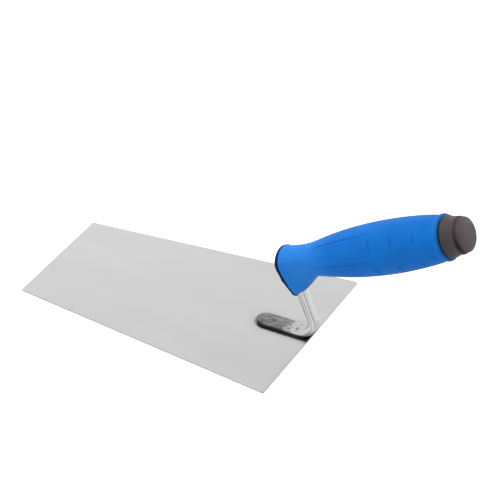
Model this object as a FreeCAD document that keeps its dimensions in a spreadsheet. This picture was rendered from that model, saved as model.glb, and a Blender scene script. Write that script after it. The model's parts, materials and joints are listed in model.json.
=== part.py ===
"""Steel finishing trowel: flat trapezium blade, welded gooseneck tang and a two-component handle.

Frame: millimetres, +Z up, +X from the toe towards the handle's butt, +Y to the trowel's side.
The origin is the middle of the blade's underside, which is the plane Z = 0.

The handle has a frame of its own: X along the grip's axis from the nose to the butt, Z square to it.
The front cap has another: its outer face is the YZ plane, and X runs back into the handle.
"""

import FreeCAD
import Part

import math
import os

import Sketcher
from FreeCAD import Placement, Rotation, Vector

# Driving dimensions: alias, value in millimetres or degrees, what it is.
DIMENSIONS = [
    ("blade_length", 200.0, "toe edge to heel edge"),
    ("heel_width", 140.0, "blade width at the handle end"),
    ("toe_width", 94.0, "blade width at the front end"),
    ("blade_thickness", 1.2, "sheet thickness"),
    ("blade_corner", 1.5, "corner radius in plan"),
    ("blade_break", 0.2, "broken edge of the sheet"),
    ("rod_diameter", 8.0, "tang's round bar"),
    ("foot_width", 14.0, "flattened foot, across"),
    ("foot_height", 3.0, "flattened foot, above the blade"),
    ("foot_length", 41.0, "foot's rounded end to the heel edge"),
    ("foot_bend", 6.5, "inner radius of the bend at the foot"),
    ("foot_bend_setback", 9.4, "centre of that bend, from the heel edge towards the toe"),
    ("foot_squareness", 5.0, "superellipse power of the foot's section, where 2 is round"),
    ("forging_step", 0.06, "forged bend inside the round bar, all round, where they meet"),
    ("tip_clearance", 0.2, "foot's rounded end past the foot's sides"),
    ("neck_lean", 21.5, "neck's lean towards the toe, from upright"),
    ("tail_bend", 12.0, "bend radius of the bar's axis inside the nose"),
    ("tail_end", 108.0, "bar's end inside the handle, from the nose"),
    ("handle_x", 80.15, "nose end of the grip's axis, along the blade"),
    ("handle_z", 54.1, "nose end of the grip's axis, above the table"),
    ("handle_angle", 26.45, "grip axis above the blade's plane"),
    ("cap_x", 81.75, "middle of the front cap's face, along the blade"),
    ("cap_z", 47.5, "middle of the front cap's face, above the table"),
    ("cap_angle", 22.5, "front cap's face, from upright"),
    ("cap_thickness", 1.7, "front cap's plate"),
    ("cap_relief", 0.65, "groove in the plate's back for the neck"),
    ("cap_top_radius", 13.5, "front cap's upper arc"),
    ("cap_top_centre", 4.7, "front cap's upper arc, above the middle"),
    ("cap_low_radius", 6.3, "front cap's lower arc"),
    ("cap_low_centre", 11.7, "front cap's lower arc, below the middle"),
    ("peg_radius", 1.2, "front cap's pegs"),
    ("peg_length", 4.5, "front cap's pegs, behind the plate"),
    ("peg_side", 6.6, "front cap's pegs, from the mid-plane"),
    ("peg_height", 5.5, "front cap's pegs, above the middle"),
    ("grip_length", 127.3, "nose end of the axis to the rubber's rear rim"),
    ("rubber_wall", 2.0, "rubber over the core"),
    ("wall_overrun", 2.0, "core's form past the grip's ends, before it is trimmed"),
    ("bar_clearance", 0.1, "passage around the bar, all round"),
    ("pocket_radius", 8.2, "core's rear pocket and the plug in it"),
    ("pocket_floor", 104.0, "core's rear pocket floor, from the nose"),
    ("washer_radius", 7.8, "push-on washer, outside"),
    ("washer_thickness", 0.8, "push-on washer"),
    ("washer_slit", 1.0, "push-on washer's slits, across"),
    ("washer_slit_depth", 1.8, "push-on washer's slits, from the bar outwards"),
    ("butt_radius", 14.2, "end cap where it meets the rubber"),
    ("flare_length", 5.0, "end cap's flare, rubber's rim to the waist"),
    ("waist_radius", 12.1, "end cap's waist"),
    ("waist_length", 4.5, "end cap's waist, to the groove before the knob"),
    ("groove_radius", 11.0, "groove before the knob, at its floor"),
    ("groove_slope", 0.5, "groove's two slopes, along the handle"),
    ("groove_floor", 0.8, "groove's floor, along the handle"),
    ("knob_radius", 11.5, "end cap's knob"),
    ("knob_length", 1.4, "knob's full radius, to the bevel"),
    ("bevel_length", 2.5, "knob's bevel, along the handle"),
    ("end_radius", 7.0, "knob's flat end face"),
    ("knob_edge", 2.2, "roundings at both ends of the bevel"),
    ("plug_length", 15.0, "end cap's plug in the core"),
    ("nugget_radius", 2.4, "weld nugget"),
    ("nugget_height", 0.8, "weld nugget, half in the blade"),
    ("nugget_pitch", 9.0, "weld nuggets, apart"),
    ("nugget_first", 14.0, "first nugget from the heel edge"),
]

# Egg sections square to the grip's axis: distance from the nose, then the radius of the upper arc and the
# height of its centre, and the radius of the lower arc and the depth of its centre. The deep lower arcs at
# the nose make its chin, and they rise into the round grip.
GRIP_SECTIONS = [
    ("nose", -4.0, 13.3, -1.9, 6.8, 17.9),
    ("face", 1.0, 12.9, -1.6, 6.9, 16.7),
    ("chin", 6.0, 11.2, -0.5, 7.0, 14.6),
    ("throat", 11.0, 10.4, -0.1, 7.2, 11.6),
    ("nape", 16.0, 10.2, 0.0, 8.4, 7.2),
    ("collar", 21.0, 10.6, -0.2, 10.0, 2.8),
    ("neck_end", 28.0, 12.0, -0.5, 12.0, 0.8),
    ("thumb", 38.0, 13.9, -0.5, 13.9, 0.5),
    ("palm", 50.0, 15.7, -0.5, 15.7, 0.5),
    ("swell", 62.0, 16.9, -0.5, 16.9, 0.5),
    ("belly", 75.0, 17.6, -0.45, 17.6, 0.45),
    ("crown", 88.0, 17.7, -0.4, 17.7, 0.4),
    ("heel", 101.0, 17.2, -0.25, 17.2, 0.25),
    ("taper", 114.0, 16.1, -0.15, 16.1, 0.15),
    ("rim", 127.3, 14.3, 0.0, 14.3, 0.0),
]
SECTION_FIELDS = ("at", "top", "rise", "low", "drop")

HANDLE_FRAME = ("handle_x", "handle_z", "handle_angle")
CAP_FRAME = ("cap_x", "cap_z", "cap_angle")
NUGGETS = 3
WASHER_SLITS = 6
FULL_TURN = 360.0
# Longer and wider than anything it cuts.
CLEAR = 60.0
# Poles round a section of the bar and of the grip, and sections along the bend at the foot.
BAR_POLES = 24
GRIP_POLES = 32
BEND_SECTIONS = 8


def fill_sheet(doc):
    """The spreadsheet that holds every driving dimension under its alias."""
    sheet = doc.addObject("Spreadsheet::Sheet", "dims")
    rows = list(DIMENSIONS)
    for name, *values in GRIP_SECTIONS:
        for field, value in zip(SECTION_FIELDS, values):
            rows.append((f"{name}_{field}", value, f"grip section at the {name}"))
    for row, (alias, value, note) in enumerate(rows, 1):
        sheet.set(f"A{row}", note)
        sheet.set(f"B{row}", str(value))
        sheet.setAlias(f"B{row}", alias)
    doc.recompute()
    return sheet


def frame_of(sheet, frame):
    """The placement of the handle's or the front cap's frame."""
    x, z, angle = (sheet.get(cell) for cell in frame)
    return Placement(Vector(x, 0, z), Rotation(Vector(0, -1, 0), angle))


def bind_frame(item, frame):
    """Places an object in a frame and binds that placement to the sheet."""
    x_cell, z_cell, angle_cell = frame
    item.Placement = frame_of(item.Document.dims, frame)
    item.setExpression("Placement.Base.x", f"dims.{x_cell}")
    item.setExpression("Placement.Base.z", f"dims.{z_cell}")
    item.setExpression("Placement.Rotation.Angle", f"dims.{angle_cell}")


def add_body(doc, name, frame=None):
    """A labelled body, in the handle's or the cap's frame when one is named."""
    body = doc.addObject("PartDesign::Body", name)
    body.Label = name
    if frame:
        bind_frame(body, frame)
    return body


def add_sketch(body, name, plane="XY_Plane"):
    """An empty sketch on one of the body's own origin planes."""
    sketch = body.newObject("Sketcher::SketchObject", name)
    origin_plane = next(f for f in body.Origin.OriginFeatures if f.Role == plane)
    sketch.AttachmentSupport = (origin_plane, [""])
    sketch.MapMode = "FlatFace"
    return sketch


def draw_polygon(sketch, corners):
    """A closed outline of straight edges whose corners are pairs of sheet expressions."""
    sheet = sketch.Document.dims
    points = [Vector(*(float(sheet.evalExpression(e)) for e in corner), 0) for corner in corners]
    count = len(points)
    for i in range(count):
        sketch.addGeometry(Part.LineSegment(points[i], points[(i + 1) % count]), False)
    for i in range(count):
        sketch.addConstraint(Sketcher.Constraint("Coincident", i, 2, (i + 1) % count, 1))
    for i, (corner, point) in enumerate(zip(corners, points)):
        for kind, axis, expression, value in (
            ("DistanceX", -2, corner[0], point.x),
            ("DistanceY", -1, corner[1], point.y),
        ):
            if expression == "0":
                sketch.addConstraint(Sketcher.Constraint("PointOnObject", i, 1, axis))
            else:
                index = sketch.addConstraint(Sketcher.Constraint(kind, -1, 1, i, 1, value))
                sketch.setExpression(f"Constraints[{index}]", expression)


def draw_egg(sketch, top, rise, low, drop):
    """An egg from four sheet expressions: two arcs on the vertical axis and their common tangents."""
    sheet = sketch.Document.dims
    top_r, top_y, low_r, low_y = (float(sheet.evalExpression(e)) for e in (top, rise, low, drop))
    lean = math.asin((top_r - low_r) / (top_y + low_y))
    up = Vector(0, top_y, 0)
    down = Vector(0, -low_y, 0)
    right = Vector(math.cos(lean), -math.sin(lean), 0)
    left = Vector(-right.x, right.y, 0)
    axis = Vector(0, 0, 1)
    upper = Part.ArcOfCircle(Part.Circle(up, axis, top_r), -lean, math.pi + lean)
    lower = Part.ArcOfCircle(Part.Circle(down, axis, low_r), math.pi + lean, 2 * math.pi - lean)
    sketch.addGeometry(upper, False)
    sketch.addGeometry(Part.LineSegment(up + left * top_r, down + left * low_r), False)
    sketch.addGeometry(lower, False)
    sketch.addGeometry(Part.LineSegment(down + right * low_r, up + right * top_r), False)
    for edge in range(4):
        sketch.addConstraint(Sketcher.Constraint("Tangent", edge, 2, (edge + 1) % 4, 1))
    for arc in (0, 2):
        sketch.addConstraint(Sketcher.Constraint("PointOnObject", arc, 3, -2))
    drivers = (
        (Sketcher.Constraint("Radius", 0, top_r), top),
        (Sketcher.Constraint("DistanceY", -1, 1, 0, 3, top_y), rise),
        (Sketcher.Constraint("Radius", 2, low_r), low),
        (Sketcher.Constraint("DistanceY", 2, 3, -1, 1, low_y), drop),
    )
    for constraint, expression in drivers:
        index = sketch.addConstraint(constraint)
        sketch.setExpression(f"Constraints[{index}]", expression)


def closed_curve(points):
    """A closed cubic B-spline round evenly spaced points, with the same knots for any section.

    Such a curve runs a little inside its poles, so these are the points moved out from their middle.
    """
    count = len(points)
    middle = sum(points, Vector()) / count
    outset = 3 / (2 + math.cos(2 * math.pi / count))
    curve = Part.BSplineCurve()
    curve.buildFromPoles([middle + (p - middle) * outset for p in points], True, 3)
    return Part.Wire([curve.toShape()])


def egg_section(at, top, rise, low, drop):
    """A closed egg across the grip's axis.

    A point of the outline with a given normal lies on the upper circle where the normal points up and
    on the lower circle where it points down, and blends from one to the other between.
    """
    lowest_blend, highest_blend = -0.5, 0.5
    points = []
    for i in range(GRIP_POLES):
        turn = 2 * math.pi * i / GRIP_POLES
        share = (math.sin(turn) - lowest_blend) / (highest_blend - lowest_blend)
        share = min(max(share, 0.0), 1.0)
        share = share * share * (3 - 2 * share)
        radius = low + (top - low) * share
        height = (rise + drop) * share - drop
        points.append(Vector(at, radius * math.cos(turn), height + radius * math.sin(turn)))
    return closed_curve(points)


def make_grip_form(doc, name, inset=0.0, overrun=0.0):
    """The grip's whole form as one solid in the handle's frame, drawn in by the inset.

    Its ends lie further out by the overrun, so that a form cut from the grip passes through them.
    """
    sheet = doc.dims
    sections = []
    outward = {GRIP_SECTIONS[0][0]: -overrun, GRIP_SECTIONS[-1][0]: overrun}
    for section, *_ in GRIP_SECTIONS:
        at, top, rise, low, drop = (sheet.get(f"{section}_{field}") for field in SECTION_FIELDS)
        at += outward.get(section, 0.0)
        sections.append(egg_section(at, top - inset, rise, low - inset, drop))
    form = doc.addObject("Part::Feature", name)
    form.Shape = Part.makeLoft(sections, True, False)
    bind_frame(form, HANDLE_FRAME)
    doc.recompute()
    return form


def turn_profile(body, name, corners):
    """Turns an outline about the body's X axis."""
    outline = add_sketch(body, f"{name}_outline", "XZ_Plane")
    draw_polygon(outline, corners)
    turned = body.newObject("PartDesign::Revolution", name)
    turned.Profile = outline
    turned.ReferenceAxis = (outline, ["H_Axis"])
    turned.Angle = FULL_TURN
    body.Document.recompute()
    return turned


def cut_from(doc, name, base, tool):
    """A labelled sub-part: the base with the tool's shape taken out of it."""
    cut = doc.addObject("Part::Cut", name)
    cut.Label = name
    cut.Base = base
    cut.Tool = tool
    cut.Refine = False
    doc.recompute()
    return cut


def make_nuggets(doc, sheet):
    """The resistance-weld nuggets, each a short disc half in the blade and half in the foot."""
    discs = []
    for i in range(NUGGETS):
        disc = doc.addObject("Part::Cylinder", f"nugget_{i + 1}")
        disc.setExpression("Radius", "dims.nugget_radius")
        disc.setExpression("Height", "dims.nugget_height")
        place = f"dims.blade_length / 2 - dims.nugget_first - {i} * dims.nugget_pitch"
        disc.setExpression("Placement.Base.x", place)
        disc.setExpression("Placement.Base.z", "dims.blade_thickness - dims.nugget_height / 2")
        discs.append(disc)
    group = doc.addObject("Part::Compound", "weld_nuggets")
    group.Label = "weld_nuggets"
    group.Links = discs
    doc.recompute()
    return group


def make_blade(doc, nuggets):
    """The flat blade, wider at the heel, with seats for the lower half of each weld nugget."""
    body = add_body(doc, "blade_sheet")
    outline = add_sketch(body, "blade_outline")
    corners = [
        ("-dims.blade_length / 2", "-dims.toe_width / 2"),
        ("dims.blade_length / 2", "-dims.heel_width / 2"),
        ("dims.blade_length / 2", "dims.heel_width / 2"),
        ("-dims.blade_length / 2", "dims.toe_width / 2"),
    ]
    draw_polygon(outline, corners)
    slab = body.newObject("PartDesign::Pad", "slab")
    slab.Profile = outline
    slab.setExpression("Length", "dims.blade_thickness")
    doc.recompute()
    upright = [
        f"Edge{i}"
        for i, edge in enumerate(slab.Shape.Edges, 1)
        if max(edge.BoundBox.XLength, edge.BoundBox.YLength) < 1e-3
    ]
    rounded = body.newObject("PartDesign::Fillet", "corners")
    rounded.Base = (slab, upright)
    rounded.setExpression("Radius", "dims.blade_corner")
    doc.recompute()
    around = [f"Edge{i}" for i, e in enumerate(rounded.Shape.Edges, 1) if e.BoundBox.ZLength < 1e-3]
    broken = body.newObject("PartDesign::Chamfer", "broken_edges")
    broken.Base = (rounded, around)
    broken.setExpression("Size", "dims.blade_break")
    doc.recompute()
    return cut_from(doc, "blade", body, nuggets)


def bar_section(middle, along, width, height, squareness):
    """A closed curve across the bar: a superellipse, round at squareness 2 and flatter above it."""
    across = Vector(0, 1, 0)
    up = along.cross(across)
    power = 2.0 / squareness
    points = []
    for i in range(BAR_POLES):
        turn = 2 * math.pi * i / BAR_POLES
        c, s = math.cos(turn), math.sin(turn)
        y = math.copysign(abs(c) ** power, c) * width / 2
        z = math.copysign(abs(s) ** power, s) * height / 2
        points.append(middle + across * y + up * z)
    return closed_curve(points)


def bend_at_foot(sheet, share):
    """The bar's middle, direction, width, height and squareness, at a share of the bend at the foot.

    The bend turns about a centre over the foot. The flattened bar thickens and narrows on its way
    round, so its inner side is a true arc and its outer side swings out past it.
    """
    turn = math.radians((90.0 + sheet.neck_lean) * share)
    ease = share * share * (3 - 2 * share)
    sunk = sheet.nugget_height
    flat = sheet.foot_height + sunk
    forged = sheet.rod_diameter - 2 * sheet.forging_step
    height = flat + (forged - flat) * ease
    width = sheet.foot_width + (forged - sheet.foot_width) * ease
    squareness = sheet.foot_squareness + (2.0 - sheet.foot_squareness) * ease
    centre = Vector(
        sheet.blade_length / 2 - sheet.foot_bend_setback,
        0,
        sheet.blade_thickness + sheet.foot_height + sheet.foot_bend,
    )
    outward = Vector(math.sin(turn), 0, -math.cos(turn))
    along = Vector(math.cos(turn), 0, math.sin(turn))
    middle = centre + outward * (sheet.foot_bend + height / 2)
    return middle, along, width, height, squareness


def bar_path(sheet):
    """The round bar's axis from the neck, round the bend in the nose, to its end in the handle."""
    start, up, *_ = bend_at_foot(sheet, 1.0)
    angle = math.radians(sheet.handle_angle)
    along = Vector(math.cos(angle), 0, math.sin(angle))
    nose = Vector(sheet.handle_x, 0, sheet.handle_z)
    gap = nose - start
    rise = (gap.x * along.z - gap.z * along.x) / (up.x * along.z - up.z * along.x)
    corner = start + up * rise
    half_turn = math.radians(90 + sheet.neck_lean - sheet.handle_angle) / 2
    reach = sheet.tail_bend * math.tan(half_turn)
    bend_in = corner - up * reach
    bend_out = corner + along * reach
    to_hub = (along - up).normalize()
    middle = corner + to_hub * (sheet.tail_bend * (1 / math.cos(half_turn) - 1))
    tail = nose + along * sheet.tail_end
    return Part.Wire(
        [
            Part.LineSegment(start, bend_in).toShape(),
            Part.Arc(bend_in, middle, bend_out).toShape(),
            Part.LineSegment(bend_out, tail).toShape(),
        ]
    )


def round_bar(sheet, radius):
    """A round bar of that radius along the neck, the bend in the nose and the tail."""
    start, up, *_ = bend_at_foot(sheet, 1.0)
    ring = Part.Wire([Part.Circle(start, up, radius).toShape()])
    return bar_path(sheet).makePipeShell([ring], True, True)


def make_tang(doc, sheet, nuggets):
    """The tang, forged from one round bar: flattened foot, gooseneck, bend in the nose, straight tail."""
    start = bend_at_foot(sheet, 0.0)
    foot_end = sheet.blade_length / 2 - sheet.foot_length
    foot_run = start[0].x - foot_end
    flat = Part.Face(bar_section(*start)).extrude(Vector(-foot_run, 0, 0))
    shares = [i / BEND_SECTIONS for i in range(BEND_SECTIONS + 1)]
    sections = [bar_section(*bend_at_foot(sheet, share)) for share in shares]
    bend = Part.makeLoft(sections, True, False)
    bar = flat.fuse([bend, round_bar(sheet, sheet.rod_diameter / 2)])

    tip_radius = sheet.foot_width / 2 + sheet.tip_clearance
    tip = Vector(foot_end + tip_radius, 0, 0)
    square_end = Part.makeBox(tip_radius, CLEAR, CLEAR, Vector(foot_end, -CLEAR / 2, 0))
    corners = square_end.cut(Part.makeCylinder(tip_radius, CLEAR, tip))
    lower_half = Vector(foot_end - CLEAR / 2, -CLEAR / 2, sheet.blade_thickness - CLEAR)
    under = Part.makeBox(2 * CLEAR, CLEAR, CLEAR, lower_half)

    tang = doc.addObject("Part::Feature", "tang")
    tang.Label = "tang"
    tang.Shape = bar.cut([corners, under, nuggets.Shape]).removeSplitter()
    return tang


def make_nose_tool(doc, sheet):
    """What the nose is cut by: all that lies before the front cap's back, and the bar's passage.

    The passage is the bar with its clearance, carried forward to the cap as a slot, so that the bent
    bar enters the nose from the front.
    """
    radius = sheet.rod_diameter / 2 + sheet.bar_clearance
    passage = round_bar(sheet, radius)
    cap = frame_of(sheet, CAP_FRAME)
    ahead = Part.makeBox(CLEAR, CLEAR, 2 * CLEAR, Vector(sheet.cap_thickness - CLEAR, -CLEAR / 2, -CLEAR))
    ahead.Placement = cap
    start, *_ = bend_at_foot(sheet, 1.0)
    slot = Part.makeBox(CLEAR, 2 * radius, CLEAR, Vector(-CLEAR, -radius, 0))
    slot.Placement = Placement(start, Rotation(Vector(0, -1, 0), sheet.neck_lean))
    roof = sheet.handle_z + radius
    above = Part.makeBox(2 * CLEAR, CLEAR, CLEAR, Vector(0, -CLEAR / 2, roof))
    tool = doc.addObject("Part::Feature", "nose_tool")
    tool.Shape = ahead.fuse([passage, slot.cut(above)])
    return tool


def make_rear_tool(doc, sheet):
    """What the core's rear is cut by: its pocket, and all that lies behind the rubber's rim."""
    along = Vector(1, 0, 0)
    pocket = Part.makeCylinder(sheet.pocket_radius, CLEAR, Vector(sheet.pocket_floor, 0, 0), along)
    behind = Part.makeCylinder(CLEAR, CLEAR, Vector(sheet.grip_length, 0, 0), along)
    tool = doc.addObject("Part::Feature", "rear_tool")
    tool.Shape = pocket.fuse(behind)
    bind_frame(tool, HANDLE_FRAME)
    return tool


def make_grip(doc, core_form, nose_tool):
    """The soft rubber sleeve moulded over the core, open at both ends and slotted under the chin."""
    sleeve = cut_from(doc, "sleeve", make_grip_form(doc, "grip_form"), core_form)
    return cut_from(doc, "grip_sleeve", sleeve, nose_tool)


def make_core(doc, core_form, nose_tool, rear_tool, front_cap):
    """The hard moulded core under the rubber, with the bar's passage, peg holes and a rear pocket."""
    drilled = cut_from(doc, "core_with_peg_holes", core_form, front_cap)
    pocketed = cut_from(doc, "core_with_pocket", drilled, rear_tool)
    return cut_from(doc, "handle_core", pocketed, nose_tool)


def make_front_cap(doc):
    """The hard plate that closes the nose's slot, with two pegs that press into the core."""
    body = add_body(doc, "front_cap", CAP_FRAME)
    plate_outline = add_sketch(body, "plate_outline", "YZ_Plane")
    draw_egg(
        plate_outline,
        "dims.cap_top_radius",
        "dims.cap_top_centre",
        "dims.cap_low_radius",
        "dims.cap_low_centre",
    )
    plate = body.newObject("PartDesign::Pad", "plate")
    plate.Profile = plate_outline
    plate.setExpression("Length", "dims.cap_thickness")
    doc.recompute()

    pegs = add_sketch(body, "peg_outline", "YZ_Plane")
    for i, side in enumerate((-1, 1)):
        place = Vector(side * doc.dims.peg_side, doc.dims.peg_height, 0)
        pegs.addGeometry(Part.Circle(place, Vector(0, 0, 1), doc.dims.peg_radius), False)
        bound = (
            (Sketcher.Constraint("DistanceX", -1, 1, i, 3, place.x), f"{side} * dims.peg_side"),
            (Sketcher.Constraint("DistanceY", -1, 1, i, 3, place.y), "dims.peg_height"),
            (Sketcher.Constraint("Radius", i, doc.dims.peg_radius), "dims.peg_radius"),
        )
        for constraint, expression in bound:
            index = pegs.addConstraint(constraint)
            pegs.setExpression(f"Constraints[{index}]", expression)
    peg_pair = body.newObject("PartDesign::Pad", "pegs")
    peg_pair.Profile = pegs
    peg_pair.setExpression("Length", "dims.cap_thickness + dims.peg_length")
    doc.recompute()

    relief = add_sketch(body, "relief_outline", "XY_Plane")
    side = "dims.rod_diameter / 2 + dims.bar_clearance"
    floor = "dims.cap_thickness - dims.cap_relief"
    back = "dims.cap_thickness + 1"
    draw_polygon(relief, [(floor, f"-({side})"), (back, f"-({side})"), (back, side), (floor, side)])
    groove = body.newObject("PartDesign::Pocket", "relief")
    groove.Profile = relief
    groove.Type = "Length"
    groove.Reversed = True
    groove.setExpression("Length", "2 * dims.cap_top_radius")
    before = peg_pair.Shape.Volume
    doc.recompute()
    if groove.Shape.Volume >= before:
        raise RuntimeError("the front cap's relief cuts nothing")
    return body


def make_end_cap(doc):
    """The hard butt: a flare, a waist, a groove, a striking knob with a rounded bevel and a plug."""
    body = add_body(doc, "end_cap", HANDLE_FRAME)
    waist = "dims.grip_length + dims.flare_length"
    groove = f"{waist} + dims.waist_length"
    floor_start = f"{groove} + dims.groove_slope"
    floor_end = f"{floor_start} + dims.groove_floor"
    knob = f"{floor_end} + dims.groove_slope"
    bevel = f"{knob} + dims.knob_length"
    end = f"{bevel} + dims.bevel_length"
    turned = turn_profile(
        body,
        "turned_form",
        [
            ("dims.grip_length - dims.plug_length", "0"),
            ("dims.grip_length - dims.plug_length", "dims.pocket_radius"),
            ("dims.grip_length", "dims.pocket_radius"),
            ("dims.grip_length", "dims.butt_radius"),
            (waist, "dims.waist_radius"),
            (groove, "dims.waist_radius"),
            (floor_start, "dims.groove_radius"),
            (floor_end, "dims.groove_radius"),
            (knob, "dims.knob_radius"),
            (bevel, "dims.knob_radius"),
            (end, "dims.end_radius"),
            (end, "0"),
        ],
    )
    bevel_start = turned.Shape.BoundBox.XMax - doc.dims.bevel_length
    rims = [
        f"Edge{i}"
        for i, edge in enumerate(turned.Shape.Edges, 1)
        if edge.isClosed() and edge.BoundBox.XMin > bevel_start - 1e-3
    ]
    rounded = body.newObject("PartDesign::Fillet", "rounded_rims")
    rounded.Base = (turned, rims)
    rounded.setExpression("Radius", "dims.knob_edge")
    doc.recompute()
    return body


def make_washer(doc):
    """The push-on washer that holds the tail in the core, slit so that its teeth bite the bar."""
    body = add_body(doc, "lock_washer", HANDLE_FRAME)
    front, back = "dims.pocket_floor", "dims.pocket_floor + dims.washer_thickness"
    bore = "dims.rod_diameter / 2"
    corners = [
        (front, bore),
        (front, "dims.washer_radius"),
        (back, "dims.washer_radius"),
        (back, bore),
    ]
    ring = turn_profile(body, "ring", corners)
    slit = add_sketch(body, "slit_outline", "YZ_Plane")
    half = "dims.washer_slit / 2"
    tip = f"{bore} + dims.washer_slit_depth"
    draw_polygon(slit, [(f"-{half}", "0"), (half, "0"), (half, tip), (f"-{half}", tip)])
    cut = body.newObject("PartDesign::Pocket", "slit")
    cut.Profile = slit
    cut.Type = "ThroughAll"
    cut.Reversed = True
    doc.recompute()
    slits = body.newObject("PartDesign::PolarPattern", "slits")
    slits.Originals = [cut]
    slits.Axis = (slit, ["N_Axis"])
    slits.Angle = FULL_TURN
    slits.Occurrences = WASHER_SLITS
    body.Tip = slits
    doc.recompute()
    if slits.Shape.Volume >= ring.Shape.Volume:
        raise RuntimeError("the washer's slits cut nothing")
    return body


def check(doc, parts):
    """Stops the build if a feature failed or a sub-part isn't made of valid solids."""
    failed = [o.Name for o in doc.Objects if {"Invalid", "Error"} & set(o.State)]
    if failed:
        raise RuntimeError(f"features failed: {failed}")
    for part in parts:
        shape = part.Shape
        if shape.isNull() or not shape.isValid() or not shape.Solids:
            raise RuntimeError(f"{part.Label} is not a valid solid")
        print(part.Label, "solids", len(shape.Solids), "volume", round(shape.Volume, 1))


def main():
    doc = FreeCAD.newDocument("finishing_trowel")
    sheet = fill_sheet(doc)
    nuggets = make_nuggets(doc, sheet)
    nose_tool = make_nose_tool(doc, sheet)
    front_cap = make_front_cap(doc)
    core_form = make_grip_form(doc, "core_form", sheet.rubber_wall, sheet.wall_overrun)
    parts = [
        make_blade(doc, nuggets),
        nuggets,
        make_tang(doc, sheet, nuggets),
        make_core(doc, core_form, nose_tool, make_rear_tool(doc, sheet), front_cap),
        make_grip(doc, core_form, nose_tool),
        front_cap,
        make_end_cap(doc),
        make_washer(doc),
    ]
    doc.recompute()
    check(doc, parts)
    os.makedirs("parts", exist_ok=True)
    for part in parts:
        part.Shape.exportStep(f"parts/{part.Label}.step")


main()
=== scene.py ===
"""Looks of a steel finishing trowel, made round its frame: blade, tang, rubber grip and moulded caps."""

import json
import math

import bpy
import numpy as np
from bpy.props import FloatProperty, FloatVectorProperty, IntProperty, PointerProperty
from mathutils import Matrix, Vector


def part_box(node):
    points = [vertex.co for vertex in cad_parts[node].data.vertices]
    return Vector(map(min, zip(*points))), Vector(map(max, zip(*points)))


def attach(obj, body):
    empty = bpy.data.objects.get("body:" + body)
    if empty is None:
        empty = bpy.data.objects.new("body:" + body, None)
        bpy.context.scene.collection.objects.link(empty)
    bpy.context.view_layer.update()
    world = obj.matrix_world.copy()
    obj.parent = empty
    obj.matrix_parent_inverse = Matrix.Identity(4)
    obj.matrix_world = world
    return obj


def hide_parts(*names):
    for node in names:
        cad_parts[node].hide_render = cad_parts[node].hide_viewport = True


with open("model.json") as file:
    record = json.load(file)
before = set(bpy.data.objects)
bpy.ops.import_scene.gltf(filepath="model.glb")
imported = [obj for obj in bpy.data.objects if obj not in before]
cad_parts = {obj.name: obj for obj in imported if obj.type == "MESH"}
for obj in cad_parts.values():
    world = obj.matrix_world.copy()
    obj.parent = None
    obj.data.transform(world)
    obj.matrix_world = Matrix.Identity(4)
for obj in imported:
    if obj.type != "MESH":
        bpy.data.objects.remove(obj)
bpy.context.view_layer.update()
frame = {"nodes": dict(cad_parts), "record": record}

bl_info = {
    "name": "Finishing trowel",
    "version": (1, 0, 0),
    "blender": (4, 5, 0),
    "location": "View3D > Sidebar > Trowel",
    "description": "Builds the surfaces and finishes of a steel finishing trowel round its frame",
    "category": "Object",
}

MM = 0.001
BLADE_LOW, BLADE_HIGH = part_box("blade")

# The handle's own frame: its butt and axis are the record's mount on the end face.
BUTT = next(mount for mount in frame["record"]["mounts"] if mount["name"] == "butt_face")
BUTT_POINT = np.array(BUTT["pos_m"], float)
ALONG_HANDLE = np.array(BUTT["axis"], float)
ABOVE_HANDLE = np.array((-ALONG_HANDLE[2], 0.0, ALONG_HANDLE[0]))
ACROSS = np.array((0.0, 1.0, 0.0))
HANDLE_LENGTH = 142.5 * MM
NOSE_POINT = BUTT_POINT - HANDLE_LENGTH * ALONG_HANDLE
HANDLE_SLOPE = math.atan2(ALONG_HANDLE[2], ALONG_HANDLE[0])

# Egg sections square to the handle's axis, in millimetres: distance from the nose, radius of the upper arc
# and height of its centre, radius of the lower arc and depth of its centre.
GRIP_SECTIONS = np.array(
    [
        (-4.0, 13.3, -1.9, 6.8, 17.9),
        (1.0, 12.9, -1.6, 6.9, 16.7),
        (6.0, 11.2, -0.5, 7.0, 14.6),
        (11.0, 10.4, -0.1, 7.2, 11.6),
        (16.0, 10.2, 0.0, 8.4, 7.2),
        (21.0, 10.6, -0.2, 10.0, 2.8),
        (28.0, 12.0, -0.5, 12.0, 0.8),
        (38.0, 13.9, -0.5, 13.9, 0.5),
        (50.0, 15.7, -0.5, 15.7, 0.5),
        (62.0, 16.9, -0.5, 16.9, 0.5),
        (75.0, 17.6, -0.45, 17.6, 0.45),
        (88.0, 17.7, -0.4, 17.7, 0.4),
        (101.0, 17.2, -0.25, 17.2, 0.25),
        (114.0, 16.1, -0.15, 16.1, 0.15),
        (127.3, 14.3, 0.0, 14.3, 0.0),
    ]
)
# In millimetres along the grip: its short grooves, and where its two long creases fade in.
GROOVE_PLACES = (77.0, 93.5, 110.0)
CREASE_STARTS = (26.0, 33.0)

# The front plate leans towards the blade. Its egg is an arc above and an arc below the middle of its
# outer face.
PLATE_LEAN = math.radians(22.5)
PLATE_MIDDLE = np.array((81.75 * MM, 0.0, 47.5 * MM))
PLATE_TOP_RADIUS, PLATE_TOP_RISE = 13.5 * MM, 4.7 * MM
PLATE_LOW_RADIUS, PLATE_LOW_DROP = 6.3 * MM, 11.7 * MM

# Rings of points along each stretch of the tang, and powers of its superellipse section: a circle has 2.
TIP_RINGS, FOOT_RINGS, BEND_RINGS, NECK_RINGS, NOSE_RINGS, TAIL_RINGS = 26, 90, 48, 60, 30, 20
ROUND_POWER, FOOT_SIDE_POWER, FOOT_TOP_POWER = 2.0, 4.2, 2.6


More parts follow.
